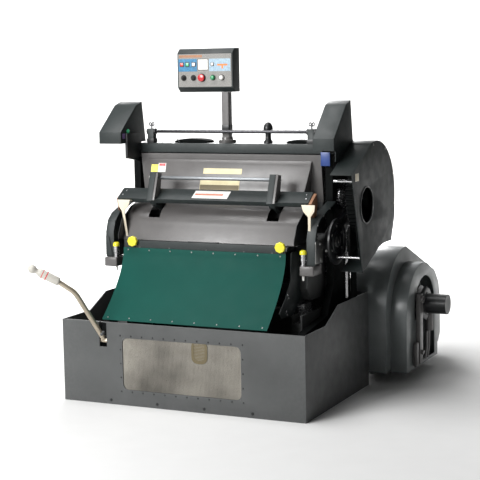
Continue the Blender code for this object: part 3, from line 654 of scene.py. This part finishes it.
def make_knobs():
    """Knobs with eight low lobes, at the ends of the feed strip."""
    for name, _ in SIDES:
        node = f"strip_knob_{name}"
        low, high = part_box(node)
        centre = Vector(middle(node))
        radius = (high[0] - low[0]) / 2 * 1.14
        knob = bmesh.new()
        outline = []
        steps = 48
        for i in range(steps):
            angle = math.tau * i / steps
            lobe = radius * (0.96 + 0.04 * math.cos(8 * angle))
            outline.append((centre.x + lobe * math.cos(angle), centre.z + lobe * math.sin(angle)))
        add_prism(knob, outline, "y", low[1], high[1] - 0.006, 0.0035, 3)
        stem = [(0, radius * 0.5), (0.021, radius * 0.5)]
        add_turned(knob, (centre.x, low[1] + 0.0002, centre.z), Y, stem)
        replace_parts(keep(f"lobed_knob_{name}", knob, "yellow", node, 40), node)


def make_oil_cups():
    """Steel cups with yellow lids, and the white nipple under each block."""
    for name, _ in SIDES:
        node = f"oil_cup_{name}"
        low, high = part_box(node)
        x, y, _ = middle(node)
        radius, tall = (high[0] - low[0]) / 2 * 1.15, high[2] - low[2]
        body = bmesh.new()
        profile = [(0, radius * 0.9), (0.004, radius * 0.9), (0.005, radius * 0.7)]
        profile += [(tall * 0.3, radius * 0.7), (tall * 0.32, radius * 0.86)]
        profile += [(tall * 0.72, radius * 0.86)]
        add_turned(body, (x, y, low[2]), Z, profile, 20)
        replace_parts(keep(f"cup_body_{name}", body, "steel", "platen"), node)
        drain_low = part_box(f"bearing_block_{name}")[0][2] - 0.026
        drain = bmesh.new()
        add_turned(drain, (x, y, drain_low), Z, [(0, 0.005), (0.0255, 0.007)], 12)
        keep(f"cup_drain_{name}", drain, "white", "platen")
        cap = bmesh.new()
        profile = [(0, radius), (tall * 0.16, radius), (tall * 0.24, radius * 0.8)]
        profile += [(tall * 0.28, radius * 0.4)]
        add_turned(cap, (x, y, low[2] + tall * 0.72), Z, profile, 20)
        keep(f"cup_lid_{name}", cap, "yellow", "platen")


def make_hubs():
    """Turned discs on the draw bars' studs, with a nut and grease nipple in the middle."""
    for name, side in SIDES:
        node = f"hub_cap_{name}"
        low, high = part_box(node)
        _, centre_y, centre_z = middle(node)
        radius = (high[1] - low[1]) / 2
        inner = low[0] if side > 0 else high[0]
        width = high[0] - low[0]
        disc = bmesh.new()
        profile = [(0, radius * 0.97), (width * 0.3, radius), (width * 0.85, radius)]
        profile += [(width, radius * 0.95), (width, radius * 0.80), (width * 0.55, radius * 0.76)]
        profile += [(width * 0.5, radius * 0.52), (width * 0.9, radius * 0.50)]
        profile += [(width * 0.9, radius * 0.36), (width * 0.6, radius * 0.34)]
        profile += [(width * 0.6, radius * 0.26)]
        add_turned(disc, (inner, centre_y, centre_z), side * X, profile, 48)
        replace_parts(keep(f"hub_disc_{name}", disc, "black", f"draw_bar_{name}"), node)
        nut = bmesh.new()
        start = (inner + side * width * 0.58, centre_y, centre_z)
        profile = [(0, 0.030), (0.009, 0.030), (0.0105, 0.027), (0.0105, 0.010), (0.013, 0.009)]
        add_turned(nut, start, side * X, profile, 8)
        reach = radius * 0.66
        for angle in range(30, 390, 60):
            y = centre_y + reach * math.cos(math.radians(angle))
            z = centre_z + reach * math.sin(math.radians(angle))
            add_screw(nut, (inner + side * width * 0.50, y, z), side * X, 0.007, 0.005)
        keep(f"hub_nut_{name}", nut, "dull_steel", f"draw_bar_{name}")


# Beam, bar and control box


def make_beam_fittings():
    """Foot flange and collar of the post, the domed knob, low covers and the wire hoop."""
    low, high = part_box("control_post")
    x, y, _ = middle("control_post")
    foot = bmesh.new()
    profile = [(0, 0.048), (0.014, 0.048), (0.017, 0.044), (0.018, 0.032), (0.030, 0.0300)]
    add_turned(foot, (x, y, low[2]), Z, profile, 32)
    tube = 0.022
    outline = rounded_outline((x - tube, y - tube), (x + tube, y + tube), 0.005)
    add_prism(foot, outline, "z", low[2] + 0.018, high[2], 0)
    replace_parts(keep("post_tube", foot, "grey", "root"), "control_post")
    collar = bmesh.new()
    corner_low, corner_high = (x - tube - 0.002, y - tube - 0.002), (x + tube + 0.002, y + tube + 0.002)
    outline = rounded_outline(corner_low, corner_high, 0.006)
    add_prism(collar, outline, "z", 1.408, 1.438, 0.001)
    keep("post_collar", collar, "black", "root")
    for name, at, radius, tall in (("left", -0.250, 0.105, 0.022), ("right", 0.385, 0.062, 0.018)):
        dome = bmesh.new()
        outline = []
        for i in range(13):
            angle = math.radians(180 * i / 12)
            outline.append((at + radius * math.cos(angle), 1.3405 + tall * math.sin(angle) ** 0.6))
        add_prism(dome, outline, "y", 0.22, 0.30, 0.003)
        # painted shade: the covers take the near-black painted shade, darker than black paint, so the
        # top light does not grey them
        keep(f"beam_cover_{name}", dome, "painted_shade_black", "root")
    knob = bmesh.new()
    low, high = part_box("chase_handle")
    x, y, _ = middle("chase_handle")
    tall, wide = high[2] - low[2], (high[0] - low[0]) / 2
    profile = [(0, wide * 0.9), (tall * 0.10, wide * 0.9), (tall * 0.16, wide * 0.62)]
    profile += [(tall * 0.48, wide * 0.60), (tall * 0.56, wide * 0.92), (tall * 0.66, wide)]
    for i in range(1, 8):
        angle = math.radians(90 * i / 8)
        profile.append((tall * (0.66 + 0.33 * math.sin(angle)), wide * math.cos(angle)))
    add_turned(knob, (x, y, low[2]), Z, profile, 28)
    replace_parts(keep("domed_knob", knob, "black", "chase_handle", 60), "chase_handle")
    hoop = bmesh.new()
    route = [(-0.42, 0.20, 1.342), (-0.40, 0.20, 1.362), (-0.33, 0.20, 1.368), (-0.31, 0.20, 1.342)]
    add_tube(hoop, bend(route, 0.014), 0.0022, 8)
    keep("wire_hoop", hoop, "steel", "root")


def make_wing_screws():
    """The collars and feet of the round bar's clamps, and the wing screws on top."""
    for name, side in SIDES:
        clamp_x = side * 0.483
        collar = bmesh.new()
        add_turned(collar, (clamp_x - 0.026, 0.195, 1.404), X, [(0, 0.017), (0.052, 0.017)], 20)
        add_box(collar, (clamp_x - 0.022, 0.172, 1.341), (clamp_x + 0.022, 0.218, 1.365), 0.003)
        keep(f"clamp_collar_{name}", collar, "black", "root")
        node = f"wing_screw_{name}"
        low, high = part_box(node)
        x, y, _ = middle(node)
        screw = bmesh.new()
        tall = high[2] - low[2]
        profile = [(0, 0.004), (tall * 0.5, 0.004), (tall * 0.55, 0.003)]
        add_turned(screw, (x, y, low[2]), Z, profile, 12)
        for way in (1, -1):
            ring = []
            for i in range(13):
                angle = math.tau * i / 12
                reach = 0.009 + 0.006 * math.cos(angle)
                ring.append((x + way * reach, y, low[2] + tall * 0.70 + 0.009 * math.sin(angle)))
            add_tube(screw, ring, 0.003, 8)
        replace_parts(keep(f"wing_nut_{name}", screw, "chrome", node), node)


def make_control_box():
    """The case with its sloped flanges, the printed plate, lamps and controls."""
    low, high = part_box("control_box")
    flange, slope = 0.025, 0.030
    face = low[1] + 0.0025
    case = bmesh.new()
    outline = [
        (face, low[2] + flange), (face, high[2] - flange), (low[1] + slope, high[2] - 0.0005),
        (high[1], high[2] - 0.0005), (high[1], low[2] + 0.0005), (low[1] + slope, low[2] + 0.0005),
    ]
    add_prism(case, outline, "x", low[0], high[0], 0.003, 3)
    case = keep("control_case", case, "dark", "box")
    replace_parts(case, "control_box")
    wells = []
    for node in ("stop_button", "start_button", "jog_button"):
        node_low, node_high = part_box(node)
        x, _, z = middle(node)
        wells.append((x, z, (node_high[0] - node_low[0]) / 2 + 0.0006))
    pierce(case, face, wells)
    plate = bmesh.new()
    corner_low, corner_high = (low[0] + 0.008, low[2] + 0.030), (high[0] - 0.008, high[2] - 0.030)
    add_prism(plate, rounded_outline(corner_low, corner_high, 0.004), "y", face - 0.0012, face)
    pierce(keep("control_plate", plate, "silver", "box"), face, wells)
    print_front = face - 0.0015
    marks = (
        ("band_blue", (-0.326, 1.732), (-0.212, 1.800), "print_blue"),
        ("band_pale", (-0.138, 1.732), (-0.008, 1.800), "sky"),
        ("display", (-0.205, 1.741), (-0.146, 1.797), "white"),
        ("title_strip", (-0.322, 1.808), (-0.180, 1.822), "copper"),
        ("arrow_bar", (-0.088, 1.762), (-0.026, 1.771), "orange"),
        ("arrow_stem", (-0.062, 1.746), (-0.052, 1.762), "orange"),
    )
    for name, corner_low, corner_high, colour in marks:
        mark = bmesh.new()
        depth = 0.0006 if name.startswith("arrow") else 0.0003
        add_prism(mark, rounded_outline(corner_low, corner_high, 0.0015, 2), "y",
                  print_front - depth, print_front + 0.0002)
        keep(f"control_{name}", mark, colour, "box")
    lamps = (
        (-0.306, 0.0125, "lamp_red"), (-0.271, 0.0125, "lamp_green"),
        (-0.232, 0.0125, "lamp_white"), (-0.118, 0.010, "lamp_white"),
    )
    z = 1.770
    for i, (x, size, colour) in enumerate(lamps):
        bezel, glass = bmesh.new(), bmesh.new()
        add_prism(bezel, rounded_outline((x - size, z - size), (x + size, z + size), 0.003),
                  "y", print_front - 0.003, print_front, 0.0008)
        keep(f"lamp_bezel_{i}", bezel, "black", "box")
        inside = size * 0.72
        add_prism(glass, rounded_outline((x - inside, z - inside), (x + inside, z + inside), 0.002),
                  "y", print_front - 0.0048, print_front - 0.0025, 0.0008)
        keep(f"lamp_glass_{i}", glass, colour, "box")
    frame_ring = bmesh.new()
    add_prism(frame_ring, rounded_outline((-0.208, 1.738), (-0.143, 1.800), 0.004), "y",
              print_front - 0.0002, print_front + 0.0002, 0)
    keep("display_frame", frame_ring, "black", "box")
    rings = bmesh.new()
    controls = (
        ("selector_one", 0.0165), ("selector_two", 0.0165), ("stop_button", 0.0225),
        ("start_button", 0.0155), ("jog_button", 0.0155),
    )
    for node, radius in controls:
        x, _, z = middle(node)
        profile = [(0, radius), (0.002, radius), (0.003, radius * 0.86)]
        add_turned(rings, (x, print_front, z), -Y, profile, 28)
    pierce(keep("control_rings", rings, "rubber", "box"), face, wells)
    make_buttons()


def make_buttons():
    """The caps of the three push buttons, and the pointers of the two selectors."""
    looks = (
        ("stop_button", "red", (0.62, 0.62, 0.96, 1.0, 0.97, 0.80)),
        ("start_button", "green", (1.0, 1.0, 1.0, 0.98, 0.92, 0.70)),
        ("jog_button", "white", (1.0, 1.0, 1.0, 0.98, 0.92, 0.70)),
    )
    for node, colour, widths in looks:
        low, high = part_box(node)
        x, _, z = middle(node)
        radius, deep = (high[0] - low[0]) / 2, high[1] - low[1]
        button = bmesh.new()
        places = (0, 0.30, 0.36, 0.75, 0.90, 1.0)
        profile = [(deep * place, radius * width) for place, width in zip(places, widths)]
        add_turned(button, (x, high[1], z), -Y, profile, 28)
        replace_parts(keep(f"{node}_cap", button, colour, BODY_OF[node], 50), node)
    for node, lean in (("selector_one", 35), ("selector_two", -40)):
        low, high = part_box(node)
        x, _, z = middle(node)
        radius, deep = (high[0] - low[0]) / 2, high[1] - low[1]
        knob = bmesh.new()
        profile = [(0, radius), (deep * 0.45, radius), (deep * 0.5, radius * 0.9)]
        add_turned(knob, (x, high[1], z), -Y, profile, 24)
        turn = math.radians(lean)
        along = Vector((math.sin(turn), 0, math.cos(turn)))
        aside = Vector((math.cos(turn), 0, -math.sin(turn)))
        outline = []
        for a, b in ((-1, -0.36), (1, -0.30), (1.12, 0), (1, 0.30), (-1, 0.36)):
            point = along * a * radius * 0.92 + aside * b * radius
            outline.append((x + point.x, z + point.z))
        add_prism(knob, outline, "y", low[1], high[1] - deep * 0.4, 0.001)
        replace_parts(keep(f"{node}_handle", knob, "rubber", node, 40), node)


# Hand lever


def make_lever_fittings():
    """The lever's ivory sleeve with its red rings and ball, its bent tube, and its collar."""
    start, ball = Vector((-0.600, -0.620, 0.668)), Vector((-0.735, -0.700, 0.752))
    axis = (ball - start).normalized()
    length = (ball - start).length
    grip = bmesh.new()
    profile = [(0, 0.016), (0.003, 0.022), (0.012, 0.023), (length * 0.60, 0.024)]
    profile += [(length * 0.64, 0.021), (length * 0.70, 0.015), (length * 0.76, 0.015)]
    profile += [(length * 0.80, 0.021), (length * 0.88, 0.024), (length * 0.96, 0.018), (length, 0.006)]
    add_turned(grip, start, axis, profile, 28)
    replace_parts(keep("grip_sleeve", grip, "grip", "lever", 60), "lever_grip")
    ring = bmesh.new()
    for place in (0.40, 0.53):
        profile = [(0, 0.0236), (0.003, 0.0246), (0.006, 0.0236)]
        add_turned(ring, start + axis * length * place, axis, profile, 28)
    keep("grip_rings", ring, "red", "lever")
    tube = bmesh.new()
    route = bend([(-0.457, -0.441, 0.353), (-0.530, -0.585, 0.612), start + axis * 0.012], 0.03, 10)
    add_tube(tube, route, 0.0138, 16)
    keep("lever_tube", tube, "warm", "lever")
    boot = bmesh.new()
    pivot = Vector((-0.452, -0.452, 0.373))
    add_turned(boot, pivot, (-0.27, -0.5, 0.9), [(0, 0.014), (0.010, 0.015), (0.014, 0.0125)], 20)
    keep("lever_collar", boot, "cast", "lever")


# Right side and covers


def make_side_fittings():
    """Tie bars, bracket plates, and the ends that close the gap behind the arms' covers."""
    ties = bmesh.new()
    add_tube(ties, [(0.690, 0.035, 0.765), (0.806, 0.035, 0.765)], 0.006)
    add_tube(ties, [(0.663, 0.218, 0.52), (0.663, 0.218, 0.86)], 0.008)
    add_tube(ties, [(0.690, -0.02, 1.165), (0.806, -0.02, 1.165)], 0.008)
    keep("drive_ties", ties, "steel", "root")
    for name, side in SIDES:
        block_low, block_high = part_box(f"bearing_block_{name}")
        outer = block_high[0] if side > 0 else block_low[0]
        high_z = block_high[2]
        bracket = bmesh.new()
        outline = [(-0.112, high_z + 0.012), (-0.016, high_z + 0.008), (-0.014, high_z + 0.125)]
        outline += [(-0.060, high_z + 0.135), (-0.108, high_z + 0.125)]
        low_x, high_x = sorted((outer + side * 0.0003, outer + side * 0.0035))
        add_prism(bracket, outline, "x", low_x, high_x, 0.001)
        for y, z in ((-0.048, high_z + 0.110), (-0.040, high_z + 0.026)):
            add_screw(bracket, (outer + side * 0.0035, y, z), side * X, 0.010, 0.004)
        keep(f"block_plate_{name}", bracket, "dull_steel", "platen")
        gusset = bmesh.new()
        flat = [(0.578, high_z + 0.004), (0.6185, high_z + 0.004), (0.6185, 0.850), (0.600, 0.842)]
        add_prism(gusset, [(side * x, z) for x, z in flat], "y", -0.1135, -0.1105, 0.0008)
        keep(f"block_gusset_{name}", gusset, "dark", "platen")
        roller = bmesh.new()
        start = (outer + side * 0.012, 0.022, high_z + 0.060)
        add_turned(roller, start, Z, [(0, 0.009), (0.055, 0.009)], 16)
        keep(f"block_roller_{name}", roller, "white", "platen")
        rivets = bmesh.new()
        for y, z in ((-0.07, 0.945), (0.01, 0.985), (0.10, 1.014)):
            add_screw(rivets, (side * 0.6195, y, z - 0.006), side * X, 0.005, 0.003)
        keep(f"arm_rivets_{name}", rivets, "dull_steel", "platen")
        closing = bmesh.new()
        outline = [(-0.148, 0.836), (-0.150, 0.86), (-0.108, 0.94), (-0.002, 1.004), (0.095, 1.026)]
        outline += [(0.160, 1.026), (0.160, 0.836)]
        low_x, high_x = sorted((side * 0.5165, side * 0.5195))
        add_prism(closing, outline, "x", low_x, high_x, 0.0006)
        keep(f"shroud_end_{name}", closing, "black", "platen")


def make_cover_fittings():
    """The blue tag under the right cover; the lamp, label and block beside the left one."""
    tag = bmesh.new()
    add_box(tag, (0.5485, 0.1535, 1.228), (0.600, 0.1565, 1.300), 0.0008)
    keep("blue_tag", tag, "blue", "root")
    lamp = bmesh.new()
    profile = [(0, 0.013), (0.005, 0.013), (0.008, 0.010), (0.010, 0.005)]
    add_turned(lamp, (-0.5625, 0.062, 1.410), X, profile, 20)
    keep("cover_lamp", lamp, "lamp_green", "root")
    label = bmesh.new()
    add_box(label, (-0.5628, 0.004, 1.372), (-0.5608, 0.036, 1.400), 0.0003)
    keep("cover_label", label, "purple", "root")
    filler = bmesh.new()
    add_box(filler, (-0.5628, 0.03, 1.262), (-0.5485, 0.19, 1.400), 0.002)
    keep("beam_end_block", filler, "black", "root")


def make_guard_fittings():
    """The gear guard's rim, screws, sheets, sticker and a sheet of painted shade, and the rigging in
    the clutch's mouth.
    """
    guard_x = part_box("gear_guard")[1][0]
    rim = bmesh.new()
    centre_y, centre_z, inner, outer = 0.14, 1.03, 0.092, 0.092 + 0.006
    steps = 40
    for i in range(steps):
        first, second = (math.tau * (i + k) / steps for k in (0, 1))
        corners = ((first, inner), (second, inner), (second, outer), (first, outer))
        outline = []
        for angle, reach in corners:
            outline.append((centre_y + reach * math.cos(angle), centre_z + reach * math.sin(angle)))
        add_prism(rim, outline, "x", guard_x - 0.001, guard_x + 0.003)
    keep("guard_port_rim", rim, "black", "root")
    screws = bmesh.new()
    for angle in (100, 60, 20, -15):
        y = 0.29 + 0.272 * math.cos(math.radians(angle))
        z = 1.07 + 0.272 * math.sin(math.radians(angle))
        add_screw(screws, (guard_x, y, z), X, 0.006, 0.003)
    keep("guard_screws", screws, "dull_steel", "root")
    sheet = bmesh.new()
    # the front sheet takes the darker guard paint, its painted shade
    outline = [(0.224, 1.347), (-0.073, 1.203), (-0.073, 1.199), (0.226, 1.343)]
    add_prism(sheet, outline, "x", 0.6900, 0.8050, 0.0008)
    keep("guard_front_sheet", sheet, "guard", "root")
    sticker = bmesh.new()
    outline = [(-0.030, 1.165), (0.022, 1.165), (0.022, 1.205), (-0.030, 1.205)]
    add_prism(sticker, outline, "x", guard_x + 0.0002, guard_x + 0.0010, 0.0002)
    keep("guard_sticker", sticker, "cream", "root")
    # painted shade: a near-black sheet and strips that show only shade behind the guard's gaps, hiding
    # the gear and the white beyond
    back = bmesh.new()
    outline = [(-0.005, 0.936), (0.250, 0.936), (0.200, 0.860), (0.070, 0.755), (0.045, 0.755)]
    add_prism(back, outline, "x", 0.7990, 0.8030, 0)
    add_prism(back, rounded_outline((0.656, 0.50), (0.690, 1.00), 0.01), "y", 0.296, 0.300)
    add_box(back, (0.6905, 0.296, 0.755), (0.7988, 0.300, 0.862), 0)
    keep("guard_painted_shade_sheet", back, "painted_shade_black", "root")
    rigging = bmesh.new()
    add_box(rigging, (0.900, 0.668, 0.085), (0.926, 0.722, 0.480), 0.006)
    add_box(rigging, (0.896, 0.625, 0.075), (0.922, 0.662, 0.215), 0.012)
    add_turned(rigging, (0.912, 0.865, 0.245), Z, [(0, 0.026), (0.095, 0.026), (0.100, 0.020)], 16)
    for y in (0.835, 0.875):
        route = [(0.908, y, 0.245), (0.905, y + 0.006, 0.160), (0.900, y - 0.004, 0.085)]
        add_tube(rigging, route, 0.009)
    add_turned(rigging, (0.926, 0.695, 0.450), X, [(0, 0.020), (0.010, 0.020), (0.013, 0.015)], 20)
    add_turned(rigging, (0.926, 0.695, 0.150), X, [(0, 0.014), (0.010, 0.014), (0.012, 0.010)], 20)
    keep("clutch_rigging", rigging, "grey", "root")
    collar = bmesh.new()
    profile = [(0, 0.096), (0.014, 0.096), (0.017, 0.090), (0.017, 0.066), (0.022, 0.064)]
    add_turned(collar, (0.905, 0.80, 0.41), X, profile, 8)
    keep("shaft_collar", collar, "black", "drive")


# Room, light and camera


def make_floor():
    """A pale sheet that curves up behind the press, square to the camera."""
    size, rise, bend_r = 14.0, 9.0, 3.0
    profile = [(-size, 0.0), (size - bend_r, 0.0)]
    for i in range(1, 13):
        angle = math.radians(90 * i / 12)
        profile.append((size - bend_r + bend_r * math.sin(angle), bend_r - bend_r * math.cos(angle)))
    profile.append((size, rise))
    bm = bmesh.new()
    left = [bm.verts.new((-size, y, z)) for y, z in profile]
    right = [bm.verts.new((size, y, z)) for y, z in profile]
    for i in range(len(profile) - 1):
        bm.faces.new((left[i], right[i], right[i + 1], left[i + 1]))
    mesh = bpy.data.meshes.new("studio_floor")
    bm.to_mesh(mesh)
    bm.free()
    mesh.polygons.foreach_set("use_smooth", [True] * len(mesh.polygons))
    floor = bpy.data.objects.new("studio_floor", mesh)
    mesh.materials.append(finish("pale_floor", (0.76, 0.76, 0.755), 0.85, wear=0, mottle=0.01))
    bpy.context.scene.collection.objects.link(floor)
    floor.rotation_euler.z = CAMERA_TURN


def add_light(name, place, aim, size, power, colour=(1, 1, 1)):
    data = bpy.data.lights.new(name, "AREA")
    data.shape = "RECTANGLE"
    data.size, data.size_y = size
    data.energy = power
    data.color = colour
    light = bpy.data.objects.new(name, data)
    light.location = place
    light.rotation_euler = (Vector(aim) - Vector(place)).to_track_quat("-Z", "Y").to_euler()
    bpy.context.scene.collection.objects.link(light)


def make_lights():
    """Faint light all round, and five soft lamps."""
    world = bpy.data.worlds.new("studio")
    world.use_nodes = True
    background = world.node_tree.nodes["Background"]
    background.inputs["Color"].default_value = (1, 1, 1, 1)
    background.inputs["Strength"].default_value = 0.07
    bpy.context.scene.world = world
    bpy.context.scene.view_settings.view_transform = "Standard"
    add_light("key", (-2.6, -6.5, 3.4), (0, -0.2, 0.7), (3.5, 2.5), 540)
    add_light("top", (-1.3, -0.9, 5.5), (0, 0.1, 0.8), (4, 3), 240)
    add_light("side", (6.0, 0.5, 3.0), (0.4, 0.3, 0.7), (2.5, 3), 3)
    add_light("rear", (-3.0, 6.0, 3.5), (0.2, 0.6, 0.7), (3, 3), 260)
    add_light("backdrop", (-2.5, 4.5, 6.5), (-4.5, 11, 1.0), (9, 3), 1900)


CAMERA_PLACE = (3.2919, -6.6122, 1.7745)
CAMERA_TURN = 0.44448
CAMERA_DOWN = 0.12708
CAMERA_ROLL = -0.01878
LENS_MM = 103.98


def make_camera():
    """A camera at the operator's right, at eye height, rolled by a degree."""
    data = bpy.data.cameras.new("camera")
    data.lens = LENS_MM
    data.sensor_width = 36
    data.clip_end = 100
    camera = bpy.data.objects.new("camera", data)
    along = math.cos(CAMERA_DOWN)
    ahead = Vector((-math.sin(CAMERA_TURN) * along, math.cos(CAMERA_TURN) * along, 0))
    ahead.z = -math.sin(CAMERA_DOWN)
    level = Vector((math.cos(CAMERA_TURN), math.sin(CAMERA_TURN), 0))
    above = level.cross(ahead)
    turn, lift = math.cos(CAMERA_ROLL), math.sin(CAMERA_ROLL)
    right, up = turn * level + lift * above, turn * above - lift * level
    camera.matrix_world = Matrix((right, up, -ahead)).transposed().to_4x4()
    camera.location = CAMERA_PLACE
    bpy.context.scene.collection.objects.link(camera)
    bpy.context.scene.camera = camera


paint_frame()
round_the_metal()
make_base_fittings()
make_window_mesh()
make_apron_fittings()
make_cheeks()
make_strip_fittings()
make_plates()
make_plank_fittings()
make_rail_brackets()
make_knobs()
make_oil_cups()
make_hubs()
make_beam_fittings()
make_wing_screws()
make_control_box()
make_lever_fittings()
make_side_fittings()
make_cover_fittings()
make_guard_fittings()
make_floor()
make_lights()
make_camera()
